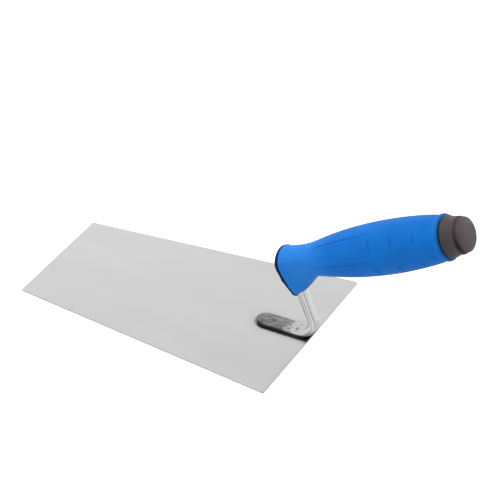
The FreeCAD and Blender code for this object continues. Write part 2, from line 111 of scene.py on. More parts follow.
def length(name, description, default, low=0.0):
    """A length property, in metres, from a default in millimetres."""
    return FloatProperty(
        name=name,
        description=description,
        default=default * MM,
        min=low,
        precision=5,
        subtype="DISTANCE",
        unit="LENGTH",
    )


def colour(name, description, default):
    """A colour property, linear red, green and blue."""
    return FloatVectorProperty(
        name=name, description=description, default=default, size=3, min=0.0, max=1.0, subtype="COLOR"
    )


def share(name, description, default):
    """A property from 0 to 1."""
    return FloatProperty(
        name=name, description=description, default=default, min=0.0, max=1.0, subtype="FACTOR"
    )


class BladeSettings(bpy.types.PropertyGroup):
    """Finish of the blade."""

    steel: colour("Steel", "Colour of the rolled sheet", (0.62, 0.62, 0.618))
    roughness: share("Roughness", "How satin the sheet is", 0.24)


class TangSettings(bpy.types.PropertyGroup):
    """Sizes and finish of the tang."""

    bar: length("Bar", "Diameter of the round bar", 8.0)
    foot_width: length("Foot width", "Width of the flattened foot", 14.0)
    foot_height: length("Foot height", "Height of the foot above the blade", 3.0)
    foot_sunk: length("Foot sunk", "How far the foot's section reaches below the blade's face", 0.8)
    foot_length: length("Foot length", "From the foot's end to the heel edge", 41.0)
    foot_bend: length("Foot bend", "Inner radius of the bend at the foot", 6.5)
    bend_setback: length("Bend setback", "Centre of that bend, from the heel edge", 9.4)
    lean: FloatProperty(
        name="Lean",
        description="Neck's lean towards the toe",
        default=math.radians(21.5),
        subtype="ANGLE",
        unit="ROTATION",
    )
    tail_bend: length("Tail bend", "Radius of the bend inside the nose", 12.0)
    tail_end: length("Tail end", "Bar's end inside the handle", 108.0)
    dent_depth: length("Dents", "Depth of the forging dents on the foot", 0.16)
    forged: colour("Forged steel", "Colour of the flattened foot", (0.23, 0.23, 0.23))
    # Painted shade: the foot's sides are coloured near black where they turn from the light; the same colour
    # also darkens the grinding marks over the foot.
    scale: colour("Scale", "Colour of the dark scale on the foot's sides", (0.05, 0.05, 0.051))
    polished: colour("Polished steel", "Colour of the neck", (0.93, 0.93, 0.925))


class GripSettings(bpy.types.PropertyGroup):
    """Sizes and finish of the rubber grip."""

    length: length("Length", "Nose to the rear rim", 126.7)
    wall: length("Wall", "Thickness of the rubber", 2.0)
    rim_bead: length("Rim bead", "Height of the bead behind the rear rim", 0.75)
    crease: length("Crease", "Depth of the long crease above the palm", 0.9)
    groove: length("Groove", "Depth of the short grooves across the grip", 0.9)
    rubber: colour("Rubber", "Colour of the rubber", (0.0, 0.18, 0.67))
    # Painted sheen: this paler colour at the nose stands in for the light the nose catches.
    nose: colour("Rubbed nose", "Colour of the paler rubber at the nose", (0.022, 0.255, 0.86))
    roughness: share("Roughness", "How matt the rubber is", 0.5)
    rows: IntProperty(name="Rows", description="Rows of points along the grip", default=300, min=40, max=360)
    points: IntProperty(name="Points", description="Points round the grip", default=240, min=48, max=260)


class CapSettings(bpy.types.PropertyGroup):
    """Sizes and finish of the moulded caps at both ends of the handle."""

    butt: length("Butt", "Radius where the end cap meets the rubber", 14.1)
    waist: length("Waist", "Radius of the end cap's waist", 12.35)
    knob: length("Knob", "Radius of the knob", 11.5)
    groove: length("Groove", "Radius at the floor of the groove before the knob", 10.8)
    plate: length("Plate", "Thickness of the front plate", 1.7)
    plastic: colour("Plastic", "Colour of the end cap", (0.098, 0.078, 0.087))
    plate_plastic: colour("Plate plastic", "Colour of the front plate", (0.006, 0.006, 0.0065))
    roughness: share("Roughness", "How matt the plastic is", 0.42)


class StageSettings(bpy.types.PropertyGroup):
    """Floor, light and camera."""

    floor: colour("Floor", "Colour of the floor", (0.8, 0.8, 0.8))
    backdrop: FloatProperty(name="Backdrop", description="Light from behind the trowel", default=1.0, min=0.0)
    room: FloatProperty(name="Room", description="Light from the camera's side", default=0.25, min=0.0)
    softbox: FloatProperty(
        name="Softbox", description="Power of the softbox overhead", default=6.0, min=0.0, subtype="POWER"
    )
    camera_place: FloatVectorProperty(
        name="Camera",
        description="Where the camera stands",
        default=(0.62529, -1.07047, 0.89049),
        size=3,
        subtype="XYZ",
        unit="LENGTH",
    )
    camera_turn: FloatProperty(
        name="Camera turn",
        description="Camera's turn about the upright",
        default=math.radians(28.134),
        subtype="ANGLE",
        unit="ROTATION",
    )
    camera_drop: FloatProperty(
        name="Camera drop",
        description="Camera's tilt below level",
        default=math.radians(34.537),
        subtype="ANGLE",
        unit="ROTATION",
    )
    lens: FloatProperty(name="Lens", description="Focal length in millimetres", default=160.44, min=1.0)


def smooth_step(values, low, high):
    """0 below low, 1 above high, and three squares less two cubes between."""
    part = np.clip((values - low) / (high - low), 0.0, 1.0)
    return part * part * (3 - 2 * part)


def bell(values, middle, width):
    """The bell curve, e to minus half the squared distance from the middle in widths."""
    return np.exp(-0.5 * ((values - middle) / width) ** 2)


def spline_through(stations, values, at):
    """Values on the natural cubic spline through rows of values at the stations.

    Its second derivatives solve one linear system: the slopes of neighbouring spans agree at each station,
    and the end ones are zero. Each span is then the cubic with those second derivatives at its ends.
    """
    gap = np.diff(stations)
    slope = np.diff(values, axis=0) / gap[:, None]
    count = len(stations)
    inner = np.arange(1, count - 1)
    system = np.eye(count)
    system[inner, inner - 1] = gap[:-1]
    system[inner, inner] = 2 * (gap[:-1] + gap[1:])
    system[inner, inner + 1] = gap[1:]
    right = np.zeros_like(values)
    right[1:-1] = 6 * np.diff(slope, axis=0)
    bends = np.linalg.solve(system, right)
    span = np.clip(np.searchsorted(stations, at, side="right") - 1, 0, count - 2)
    wide = gap[span][..., None]
    ahead = (at - stations[span])[..., None]
    behind = wide - ahead
    cubes = (bends[span] * behind**3 + bends[span + 1] * ahead**3) / (6 * wide)
    lines = (values[span] / wide - bends[span] * wide / 6) * behind
    return cubes + lines + (values[span + 1] / wide - bends[span + 1] * wide / 6) * ahead


def rounded_path(corners, cuts, steps=7):
    """A path of straight runs whose corners are parabolas, from corners and how far each is cut back.

    The parabola leaves the run before at the cut's distance from the corner and meets the run after at the
    same distance, with the corner as its middle control point.
    """
    corners = np.array(corners, float)
    cuts = np.array(cuts, float)[:, None]
    runs = np.diff(corners, axis=0)
    runs = runs / np.linalg.norm(runs, axis=1)[:, None]
    before = corners[1:-1] - cuts * runs[:-1]
    after = corners[1:-1] + cuts * runs[1:]
    t = np.linspace(0, 1, steps)[:, None, None]
    curves = (1 - t) ** 2 * before + 2 * t * (1 - t) * corners[1:-1] + t**2 * after
    return np.vstack([corners[:1], curves.transpose(1, 0, 2).reshape(-1, 2), corners[-1:]])


def in_handle(along, across, above):
    """Points given in the handle's frame, turned and moved into the part's."""
    along, across, above = np.broadcast_arrays(along, across, above)
    return (
        NOSE_POINT
        + along[..., None] * ALONG_HANDLE
        + across[..., None] * ACROSS
        + above[..., None] * ABOVE_HANDLE
    )


def turned_form(profile, count):
    """Rings of a form turned about the handle's axis.

    Each profile point, a distance along and a radius, goes round the circle of that radius.
    """
    turn = np.linspace(0, 2 * math.pi, count, endpoint=False)
    along, radius = profile[:, 0, None], profile[:, 1, None]
    return in_handle(along + 0 * turn, radius * np.cos(turn), radius * np.sin(turn))


def skin_faces(rows, count, looped):
    """Corner numbers of the quads between neighbouring rings, and of the fans that close the two ends.

    Quad (i, j) joins points j and j + 1 of ring i to the same points of ring i + 1. The fans' middles are
    numbered after the rings' own points.
    """
    row = np.arange(rows if looped else rows - 1)[:, None]
    col = np.arange(count)[None, :]
    here, ahead = row * count, (row + 1) % rows * count
    beside = (col + 1) % count
    quads = np.stack(
        np.broadcast_arrays(here + col, here + beside, ahead + beside, ahead + col), -1
    ).reshape(-1, 4)
    if looped:
        return quads, np.zeros((0, 3), int)
    ring = np.arange(count)
    following = (ring + 1) % count
    first, last = np.full(count, rows * count), np.full(count, rows * count + 1)
    base = (rows - 1) * count
    fans = np.vstack(
        [np.stack([first, following, ring], 1), np.stack([last, base + ring, base + following], 1)]
    )
    return quads, fans


def closed_skin(rings, looped=False):
    """Points, quads and fans of a closed skin over rings, an array of rings by points by three.

    The skin's volume is a sixth of the sum of the corners' triple products over its triangles. Where it comes
    out negative the skin is inside out, and every face is reversed.
    """
    rows, count, _ = rings.shape
    quads, fans = skin_faces(rows, count, looped)
    points = rings.reshape(-1, 3)
    if not looped:
        points = np.vstack([points, rings[0].mean(0), rings[-1].mean(0)])
    corners = np.vstack([quads[:, [0, 1, 2]], quads[:, [0, 2, 3]], fans])
    a, b, c = (points[corners[:, i]] - points.mean(0) for i in range(3))
    if np.einsum("ij,ij->i", a, np.cross(b, c)).sum() < 0:
        quads, fans = quads[:, ::-1], fans[:, ::-1]
    return points, quads, fans


def add_piece(name, skins, material, nodes):
    """A piece of one or more closed skins, which rides on the root body and stands for frame nodes."""
    if name in bpy.data.objects:
        raise RuntimeError(f"{name} is already built")
    points, faces, base = [], [], 0
    for skin_points, quads, fans in skins:
        points.append(skin_points)
        faces += (quads + base).tolist() + (fans + base).tolist()
        base += len(skin_points)
    mesh = bpy.data.meshes.new(name)
    mesh.from_pydata(np.vstack(points).tolist(), [], faces)
    mesh.polygons.foreach_set("use_smooth", np.ones(len(mesh.polygons), bool))
    mesh.materials.append(material)
    mesh.update()
    piece = bpy.data.objects.new(name, mesh)
    bpy.context.scene.collection.objects.link(piece)
    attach(piece, "root")
    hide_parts(*nodes)
    return piece


def finish_node(name, material):
    """Gives a frame node its material."""
    node = frame["nodes"][name]
    node.data.materials.clear()
    node.data.materials.append(material)


def new_material(name, **values):
    """A material whose Principled shader's sockets have the given values."""
    material = bpy.data.materials.new(name)
    material.use_nodes = True
    shader = material.node_tree.nodes["Principled BSDF"]
    for socket, value in values.items():
        shader.inputs[socket.replace("_", " ")].default_value = value
    return material, material.node_tree, shader


def place_nodes(tree, stretch=(1.0, 1.0, 1.0), turn=(0.0, 0.0, 0.0), move=(0.0, 0.0, 0.0)):
    """The piece's own coordinates, moved, turned and stretched."""
    place = tree.nodes.new("ShaderNodeTexCoord")
    mapping = tree.nodes.new("ShaderNodeMapping")
    mapping.inputs["Location"].default_value = move
    mapping.inputs["Rotation"].default_value = turn
    mapping.inputs["Scale"].default_value = stretch
    tree.links.new(place.outputs["Object"], mapping.inputs["Vector"])
    return mapping.outputs["Vector"]


def noise(tree, place, scale, detail=3.0, roughness=0.55, distortion=0.0):
    """Fractal noise at a place, in features per metre."""
    node = tree.nodes.new("ShaderNodeTexNoise")
    node.inputs["Scale"].default_value = scale
    node.inputs["Detail"].default_value = detail
    node.inputs["Roughness"].default_value = roughness
    node.inputs["Distortion"].default_value = distortion
    tree.links.new(place, node.inputs["Vector"])
    return node.outputs["Fac"]


def remap(tree, value, low, high, to_low=0.0, to_high=1.0):
    """A value from one range to another, smoothly and without going past the ends."""
    node = tree.nodes.new("ShaderNodeMapRange")
    node.interpolation_type = "SMOOTHSTEP"
    node.inputs["From Min"].default_value = low
    node.inputs["From Max"].default_value = high
    node.inputs["To Min"].default_value = to_low
    node.inputs["To Max"].default_value = to_high
    tree.links.new(value, node.inputs["Value"])
    return node.outputs["Result"]


def maths(tree, operation, *values):
    """Values joined by an operation of the maths node."""
    node = tree.nodes.new("ShaderNodeMath")
    node.operation = operation
    for value, socket in zip(values, node.inputs):
        if isinstance(value, (int, float)):
            socket.default_value = value
        else:
            tree.links.new(value, socket)
    return node.outputs[0]


def product(tree, first, *others):
    """Values multiplied together."""
    for other in others:
        first = maths(tree, "MULTIPLY", first, other)
    return first


def total(tree, first, *others):
    """Values added together."""
    for other in others:
        first = maths(tree, "ADD", first, other)
    return first


def opposite(tree, value):
    """What a share leaves of one."""
    return maths(tree, "SUBTRACT", 1.0, value)


def mix_colours(tree, factor, first, second):
    """A colour between two, by a factor."""
    node = tree.nodes.new("ShaderNodeMix")
    node.data_type = "RGBA"
    tree.links.new(factor, node.inputs[0])
    for value, socket in ((first, node.inputs[6]), (second, node.inputs[7])):
        if isinstance(value, bpy.types.NodeSocket):
            tree.links.new(value, socket)
        else:
            socket.default_value = (*value[:3], 1.0)
    return node.outputs[2]


def axis_value(tree, axis):
    """One of the piece's own coordinates, in metres."""
    split = tree.nodes.new("ShaderNodeSeparateXYZ")
    tree.links.new(place_nodes(tree), split.inputs[0])
    return split.outputs[axis]


def add_bump(tree, shader, height, strength, distance):
    """Relief from a height."""
    node = tree.nodes.new("ShaderNodeBump")
    node.inputs["Strength"].default_value = strength
    node.inputs["Distance"].default_value = distance
    tree.links.new(height, node.inputs["Height"])
    tree.links.new(node.outputs["Normal"], shader.inputs["Normal"])


def scaled(tree, colour_out, factor):
    """A colour made lighter or darker by a value of the tree."""
    node = tree.nodes.new("ShaderNodeVectorMath")
    node.operation = "SCALE"
    tree.links.new(colour_out, node.inputs[0])
    tree.links.new(factor, node.inputs["Scale"])
    return node.outputs["Vector"]


def tinted(value, factor):
    """A colour made lighter or darker by a factor."""
    return tuple(min(1.0, part * factor) for part in value)


def foot_distance(tree, x, y, settings):
    """Distance outside the tang's foot in plan: from the line down its middle, less half its width."""
    half = settings.foot_width / 2
    tip = BLADE_HIGH.x - settings.foot_length + half
    ahead = maths(tree, "MAXIMUM", maths(tree, "SUBTRACT", tip, x), 0.0)
    squares = total(tree, product(tree, ahead, ahead), product(tree, y, y))
    return maths(tree, "SUBTRACT", maths(tree, "POWER", squares, 0.5), half)


def sheet_steel(settings):
    """Rolled satin sheet: long fine grain, cloudy tone and a few faint scratches.

    Painted light makes it a little paler towards the toe and the far edge, and painted contact shadow darkens
    it close round the tang's foot.
    """
    material, tree, shader = new_material("sheet_steel", Metallic=1.0)
    grain = noise(tree, place_nodes(tree, (0.03, 1.0, 1.0)), 5200.0, 4.0, 0.7)
    clouds = noise(tree, place_nodes(tree, (0.35, 1.0, 1.0)), 38.0, 3.0, 0.5)
    scratches = noise(tree, place_nodes(tree, (0.012, 1.0, 1.0), (0.0, 0.0, 0.21)), 900.0, 2.0, 0.5)
    tone = total(tree, product(tree, clouds, 0.7), product(tree, grain, 0.3))
    factor = remap(tree, tone, 0.3, 0.7)
    rolled = mix_colours(tree, factor, tinted(settings.steel, 0.975), tinted(settings.steel, 1.02))
    scratch = remap(tree, scratches, 0.70, 0.76, 0.0, 0.35)
    scratched = mix_colours(tree, scratch, rolled, tinted(settings.steel, 1.08))
    x, y = axis_value(tree, 0), axis_value(tree, 1)
    # Painted light: the sheet is made paler towards the toe and towards the far edge, standing in for
    # reflected light falling off across the blade.
    painted_light_toward_toe = remap(tree, x, BLADE_LOW.x, BLADE_HIGH.x, 1.08, 1.0)
    painted_light_toward_far_edge = remap(tree, y, BLADE_LOW.y, BLADE_HIGH.y, 0.98, 1.03)
    foot = foot_distance(tree, x, y, bpy.context.scene.trowel_tang)
    # Painted shadow: the sheet is darkened strongly within about 2.6 mm of the tang's foot, and softly out to
    # 8 mm.
    painted_contact_shadow = remap(tree, foot, 0.8 * MM, 2.6 * MM, 0.42, 0.97)
    painted_soft_shade = remap(tree, foot, 2.0 * MM, 8.0 * MM, 0.93, 1.0)
    painted_light_and_shade = product(tree, painted_light_toward_toe, painted_light_toward_far_edge, painted_contact_shadow, painted_soft_shade)
    tree.links.new(scaled(tree, scratched, painted_light_and_shade), shader.inputs["Base Color"])
    low, high = settings.roughness - 0.03, settings.roughness + 0.04
    tree.links.new(remap(tree, tone, 0.3, 0.7, low, high), shader.inputs["Roughness"])
    add_bump(tree, shader, grain, 0.05, 0.02 * MM)
    return material


def forged_foot(tree, settings, mottle, z):
    """Colour of the foot as forged: mottled and with dark specks, with painted shade low on its sides."""
    top = BLADE_HIGH.z
    specks = noise(tree, place_nodes(tree), 1500.0, 3.0, 0.6)
    dark, pale = tinted(settings.forged, 0.62), tinted(settings.forged, 1.45)
    mottled = mix_colours(tree, remap(tree, mottle, 0.36, 0.66), dark, pale)
    speck = remap(tree, specks, 0.60, 0.74, 0.0, 0.7)
    speckled = mix_colours(tree, speck, mottled, tinted(settings.forged, 0.4))
    uneven = total(tree, z, product(tree, mottle, 1.2 * MM))
    # Painted shade: below a wavering height low on the foot, its sides take the near-black colour.
    return mix_colours(tree, remap(tree, uneven, top + 2.4 * MM, top + 3.7 * MM), settings.scale, speckled)


def ground_steel(tree, settings, lines, x, z):
    """Colour of the ground steel from the bend upwards.

    It is fine-lined and pale on the neck, with a painted dark reflection line down both sides of the round
    bar, and duller with dark marks where the grinding runs out over the foot. The foot's sides keep their
    painted shade.
    """
    top, heel = BLADE_HIGH.z, BLADE_HIGH.x
    dark, pale = tinted(settings.polished, 0.9), tinted(settings.polished, 1.05)
    ground = mix_colours(tree, remap(tree, lines, 0.3, 0.7), dark, pale)
    aside = maths(tree, "ABSOLUTE", axis_value(tree, 1))
    # Painted reflection: a thin dark line 3.1 mm out from the middle on each side of the round neck.
    off_painted_line = maths(tree, "ABSOLUTE", maths(tree, "SUBTRACT", aside, 3.1 * MM))
    painted_dark_line = remap(tree, off_painted_line, 0.0, 0.6 * MM, 0.75, 0.0)
    painted_line_on_neck = product(tree, painted_dark_line, remap(tree, z, top + 8.0 * MM, top + 12.0 * MM))
    ground = mix_colours(tree, painted_line_on_neck, ground, tinted(settings.polished, 0.35))
    duller = remap(tree, z, top + 4.0 * MM, top + 9.0 * MM, 0.55, 0.0)
    ground = mix_colours(tree, duller, ground, tinted(settings.polished, 0.3))
    marks = noise(tree, place_nodes(tree, (0.6, 1.0, 1.0)), 620.0, 3.0, 0.6, 0.8)
    marked = product(
        tree,
        remap(tree, marks, 0.53, 0.62, 0.0, 0.85),
        remap(tree, z, top + 4.2 * MM, top + 5.5 * MM, 1.0, 0.0),
        remap(tree, x, heel - 12.0 * MM, heel - 7.0 * MM, 1.0, 0.15),
    )
    ground = mix_colours(tree, marked, ground, tinted(settings.scale, 1.5))
    # Painted shade: below about 2 mm over the blade the foot's sides stay near black.
    above_side = remap(tree, z, top + 1.6 * MM, top + 2.8 * MM)
    return mix_colours(tree, above_side, tinted(settings.scale, 1.6), ground)


def forged_steel(settings):
    """Tang steel: a mottled foot with painted shade low on its sides, ground bright from the bend upwards."""
    material, tree, shader = new_material("forged_steel", Metallic=1.0)
    x, z = axis_value(tree, 0), axis_value(tree, 2)
    top, heel = BLADE_HIGH.z, BLADE_HIGH.x
    mottle = noise(tree, place_nodes(tree, (0.45, 1.0, 1.0)), 420.0, 4.0, 0.62, 0.6)
    lines = noise(tree, place_nodes(tree, (1.0, 1.0, 0.06)), 2600.0, 3.0, 0.6)
    waver = total(tree, x, product(tree, total(tree, mottle, -0.5), 12.0 * MM))
    bright_along = remap(tree, waver, heel - 21.0 * MM, heel - 12.5 * MM)
    bright_above = remap(tree, z, top + 3.4 * MM, top + 6.0 * MM)
    bright = maths(tree, "MAXIMUM", bright_along, bright_above)
    foot, ground = forged_foot(tree, settings, mottle, z), ground_steel(tree, settings, lines, x, z)
    tree.links.new(mix_colours(tree, bright, foot, ground), shader.inputs["Base Color"])
    rough_foot = remap(tree, mottle, 0.3, 0.7, 0.46, 0.30)
    rough_neck = remap(tree, lines, 0.3, 0.7, 0.14, 0.22)
    forged = opposite(tree, bright)
    roughness = total(tree, product(tree, rough_neck, bright), product(tree, rough_foot, forged))
    tree.links.new(roughness, shader.inputs["Roughness"])
    relief = total(tree, product(tree, mottle, forged), product(tree, lines, 0.06))
    add_bump(tree, shader, relief, 0.5, 0.4 * MM)
    return material


def grip_rubber(settings):
    """Soft moulded rubber: fine sand-blasted grain, slow tone clouds and a matt sheen, and a painted sheen
    that makes it paler at the nose.
    """
    material, tree, shader = new_material("grip_rubber", Specular_IOR_Level=0.14)
    clouds = noise(tree, place_nodes(tree), 55.0, 3.0, 0.5)
    grain = noise(tree, place_nodes(tree), 3800.0, 2.0, 0.5)
    pores = noise(tree, place_nodes(tree), 900.0, 3.0, 0.6)
    dark, pale = tinted(settings.rubber, 0.94), tinted(settings.rubber, 1.05)
    clouded = mix_colours(tree, remap(tree, clouds, 0.3, 0.7), dark, pale)
    along, _ = handle_places(tree)
    # Painted sheen: the rubber is made paler towards the nose, where it catches the light.
    at_nose = remap(tree, along, 14.0 * MM, 50.0 * MM, 1.0, 0.0)
    wear_and_sheen = mix_colours(tree, at_nose, clouded, settings.nose)
    dust = remap(tree, pores, 0.58, 0.8, 0.0, 0.12)
    dusted = mix_colours(tree, dust, wear_and_sheen, tinted(settings.rubber, 1.3))
    tree.links.new(dusted, shader.inputs["Base Color"])
    low, high = settings.roughness - 0.05, settings.roughness + 0.07
    tree.links.new(remap(tree, pores, 0.3, 0.7, low, high), shader.inputs["Roughness"])
    relief = total(tree, product(tree, grain, 0.6), product(tree, pores, 0.4))
    add_bump(tree, shader, relief, 0.18, 0.12 * MM)
    return material


def handle_places(tree):
    """Distances along the handle and above its axis, in metres, from the piece's own coordinates."""
    places = []
    for direction in (ALONG_HANDLE, ABOVE_HANDLE):
        node = tree.nodes.new("ShaderNodeVectorMath")
        node.operation = "DOT_PRODUCT"
        node.inputs[1].default_value = direction
        tree.links.new(place_nodes(tree), node.inputs[0])
        places.append(maths(tree, "SUBTRACT", node.outputs["Value"], float(NOSE_POINT @ direction)))
    return places


def cap_painted_shade_and_light(tree):
    """Painted shade in the end cap's hollows, and painted light that makes its end face paler than its sides.

    The painted shade lies in the gap against the rubber and low in the groove before the knob.
    """
    along, above = handle_places(tree)
    # Painted shade: dark in the gap against the rubber, and in the groove before the knob, most on the lower
    # side.
    painted_dark_line = remap(tree, along, 127.6 * MM, 128.5 * MM, 0.95, 0.0)
    off_groove = maths(tree, "ABSOLUTE", maths(tree, "SUBTRACT", along, 137.9 * MM))
    groove = remap(tree, off_groove, 0.3 * MM, 2.2 * MM, 1.0, 0.0)
    low = remap(tree, above, -3.0 * MM, 7.0 * MM, 0.95, 0.05)
    # Painted light: the sides and flare are darkened and the end face lightened.
    face = remap(tree, along, 138.5 * MM, 141.5 * MM, 0.75, 1.35)
    return maths(tree, "MAXIMUM", painted_dark_line, product(tree, groove, low)), face


def moulded_plastic(name, plastic, roughness, striking=False):
    """Hard moulded plastic: spark-eroded grain, faint flow clouds and pale worn specks.

    On the striking cap the hollows get painted shade, and painted light makes the end face paler than its
    darker sides.
    """
    material, tree, shader = new_material(name, Specular_IOR_Level=0.25)
    clouds = noise(tree, place_nodes(tree, (1.0, 1.0, 0.5)), 80.0, 3.0, 0.5)
    grain = noise(tree, place_nodes(tree), 2600.0, 2.0, 0.5)
    wear_and_sheen = noise(tree, place_nodes(tree), 420.0, 4.0, 0.6)
    dark, pale = tinted(plastic, 0.92), tinted(plastic, 1.08)
    clouded = mix_colours(tree, remap(tree, clouds, 0.3, 0.7), dark, pale)
    wear_and_painted_light = mix_colours(tree, remap(tree, wear_and_sheen, 0.62, 0.8, 0.0, 0.25), clouded, tinted(plastic, 1.5))
    if striking:
        # Painted shade goes near black in the hollows, and painted light scales the face paler and the flare
        # darker.
        painted_shade, face = cap_painted_shade_and_light(tree)
        wear_and_painted_light = mix_colours(tree, painted_shade, scaled(tree, wear_and_painted_light, face), tinted(plastic, 0.06))
    tree.links.new(wear_and_painted_light, shader.inputs["Base Color"])
    low, high = roughness - 0.06, roughness + 0.06
    tree.links.new(remap(tree, wear_and_sheen, 0.3, 0.7, low, high), shader.inputs["Roughness"])
    add_bump(tree, shader, grain, 0.14, 0.1 * MM)
    return material


def spring_steel():
    """Pressed spring steel of the hidden push-on washer: blued tone with rolling marks."""
    material, tree, shader = new_material("spring_steel", Metallic=1.0)
    marks = noise(tree, place_nodes(tree, (1.0, 0.1, 1.0)), 1800.0, 3.0, 0.6)
    tone = mix_colours(tree, remap(tree, marks, 0.3, 0.7), (0.22, 0.22, 0.24), (0.34, 0.34, 0.35))
    tree.links.new(tone, shader.inputs["Base Color"])
    tree.links.new(remap(tree, marks, 0.3, 0.7, 0.25, 0.4), shader.inputs["Roughness"])
    add_bump(tree, shader, marks, 0.1, 0.05 * MM)
    return material


def long_crease(mm, from_top, crest, floor, fade_out):
    """One long crease of unit depth: a bell of height beside a bell of depth, faded in and out along it.

    The crest and the floor are each a size, an angle from the top in degrees and a width in degrees.
    """
    height, crest_at, crest_width = crest
    depth, floor_at, floor_width = floor
    shape = height * bell(from_top, crest_at, crest_width) - depth * bell(from_top, floor_at, floor_width)
    return shape * smooth_step(mm, *CREASE_STARTS) * (1 - smooth_step(mm, *fade_out))


def grip_relief(settings, along, turn):
    """How far the rubber stands off its plain form, in metres, at a distance along and an angle round it.

    The angle from the top is the same on both sides. A short groove is a bell of depth along the grip, with a
    low bell of height behind it, times a window round the grip: one window above the side and one below. The
    bead is a bell of height just before the rear rim, with a hollow before it.
    """
    mm = along / MM
    from_top = np.degrees(np.abs((turn - math.pi / 2 + math.pi) % (2 * math.pi) - math.pi))
    upper = long_crease(mm, from_top, (0.5, 38.0, 2.4), (1.0, 32.5, 1.7), (58.0, 90.0))
    lower = long_crease(mm, from_top, (0.35, 87.0, 2.8), (0.6, 92.5, 2.0), (60.0, 86.0))
    across = sum(bell(mm, place, 0.55) - 0.25 * bell(mm, place + 1.5, 0.8) for place in GROOVE_PLACES)
    high = smooth_step(from_top, 44.0, 50.0) * (1 - smooth_step(from_top, 64.0, 70.0))
    low = smooth_step(from_top, 108.0, 114.0) * (1 - smooth_step(from_top, 136.0, 144.0))
    bead = bell(mm, 125.2, 1.1) - 0.3 * bell(mm, 122.2, 1.5)
    creases = settings.crease * (upper + lower)
    return creases - settings.groove * across * (high + low) + settings.rim_bead * bead


def grip_point(settings, along, turn, inset):
    """A point of the grip's skin at a distance along the axis and an angle round it.

    The section is an egg: its point with that normal lies on the upper circle where the normal points up and
    on the lower one where it points down, and blends smoothly between. The relief and the inset move it
    along that normal.
    """
    top, rise, low, drop = np.moveaxis(
        spline_through(GRIP_SECTIONS[:, 0], GRIP_SECTIONS[:, 1:], along / MM) * MM, -1, 0
    )
    upper = smooth_step(np.sin(turn), -0.5, 0.5)
    radius = low + (top - low) * upper - inset
    if not np.any(inset):
        radius = radius + grip_relief(settings, along, turn)
    height = (rise + drop) * upper - drop
    return radius * np.cos(turn), height + radius * np.sin(turn)


def plate_plane():
    """The middle of the front plate's outer face and its inward direction, in the handle's frame."""
    tilt = PLATE_LEAN - HANDLE_SLOPE
    gap = PLATE_MIDDLE - NOSE_POINT
    return gap @ ALONG_HANDLE, gap @ ABOVE_HANDLE, math.cos(tilt), math.sin(tilt)


def nose_edge(turn, depth, skin):
    """How far along the axis a skin of the grip meets a plane at a depth behind the front plate's outer face.

    Found by four passes of putting the skin's height at the last answer into the plane's equation.
    """
    middle_along, middle_above, inward, upward = plate_plane()
    along = np.zeros_like(turn)
    for _ in range(4):
        _, above = skin(along)
        along = middle_along + (depth - upward * (above - middle_above)) / inward
    return along


def lip_rings(turn, radius, skin, along_at, nose):
    """Rings of a quarter-round lip at the nose or the rear rim, from its edge to the skin or back.

    Each lies in from the skin by the radius times one less the sine or cosine of its angle round the lip, and
    back from the edge by the radius times one less the other of the two.
    """
    angles = np.linspace(0, math.pi / 2, 5)
    rings = []
    for angle in angles if nose else angles[1:]:
        inset = radius * (1 - (math.sin(angle) if nose else math.cos(angle)))
        along = along_at(radius * (1 - (math.cos(angle) if nose else math.sin(angle))))
        across, above = skin(along)
        rings.append(in_handle(along, across - inset * np.cos(turn), above - inset * np.sin(turn)))
    return rings


def grip_rings(settings, plate):
    """Rings of the rubber sleeve: round the nose lip, along its skin, over the rear lip, back along its bore.

    Between the nose edge and the rear rim a ring at share t lies t of the way from one to the other. The nose
    stands on the front plate, whose thickness is given.
    """
    turn = np.linspace(0, 2 * math.pi, settings.points, endpoint=False)
    nose_lip, rear_lip, bore_rows = 0.5 * MM, 0.9 * MM, 30

    def outside(along):
        return grip_point(settings, along, turn, 0.0)

    def inside(along):
        return grip_point(settings, along, turn, settings.wall)

    def at_nose(back):
        return nose_edge(turn, plate + back, outside)

    def at_rear(back):
        return np.full_like(turn, settings.length - back)

    rings = lip_rings(turn, nose_lip, outside, at_nose, nose=True)
    start = nose_edge(turn, plate + nose_lip, outside)
    along = start + (settings.length - rear_lip - start) * np.linspace(0, 1, settings.rows)[1:, None]
    rings += list(in_handle(along, *outside(along)))
    rings += lip_rings(turn, rear_lip, outside, at_rear, nose=False)
    start = nose_edge(turn, plate, inside)
    along = start + (settings.length - start) * np.linspace(1, 0, bore_rows)[:, None]
    rings += list(in_handle(along, *inside(along)))
    return np.array(rings)


def foot_and_bend(settings):
    """Middle points, slopes, roundness and width share of the tang's foot and of the bend over it.

    The foot's tip narrows as a circle does in plan. Round the bend the flat foot grows into the round bar.
    """
    heel, face = BLADE_HIGH.x, BLADE_HIGH.z
    flat, half = settings.foot_height + settings.foot_sunk, settings.foot_width / 2
    bend_x = heel - settings.bend_setback
    bend_z = face + settings.foot_height + settings.foot_bend
    tip_x = heel - settings.foot_length
    tip_share = np.sin(np.linspace(0.05, math.pi / 2, TIP_RINGS))
    rounded_x = tip_x + half * (1 - np.cos(np.arcsin(tip_share)))
    foot_x = np.concatenate([rounded_x, np.linspace(tip_x + half, bend_x, FOOT_RINGS)[1:]])
    foot = np.stack([foot_x, np.full_like(foot_x, face - settings.foot_sunk + flat / 2)], 1)

    part = np.linspace(0, 1, BEND_RINGS)[1:]
    slopes = (math.pi / 2 + settings.lean) * part
    form = smooth_step(part, 0.0, 1.0)
    reach = settings.foot_bend + (flat + (settings.bar - flat) * form) / 2
    bend = np.stack([bend_x + reach * np.sin(slopes), bend_z - reach * np.cos(slopes)], 1)
    level = np.zeros_like(foot_x)
    narrow = np.concatenate([tip_share, np.ones(FOOT_RINGS - 1 + len(part))])
    return np.vstack([foot, bend]), np.concatenate([level, slopes]), np.concatenate([level, form]), narrow


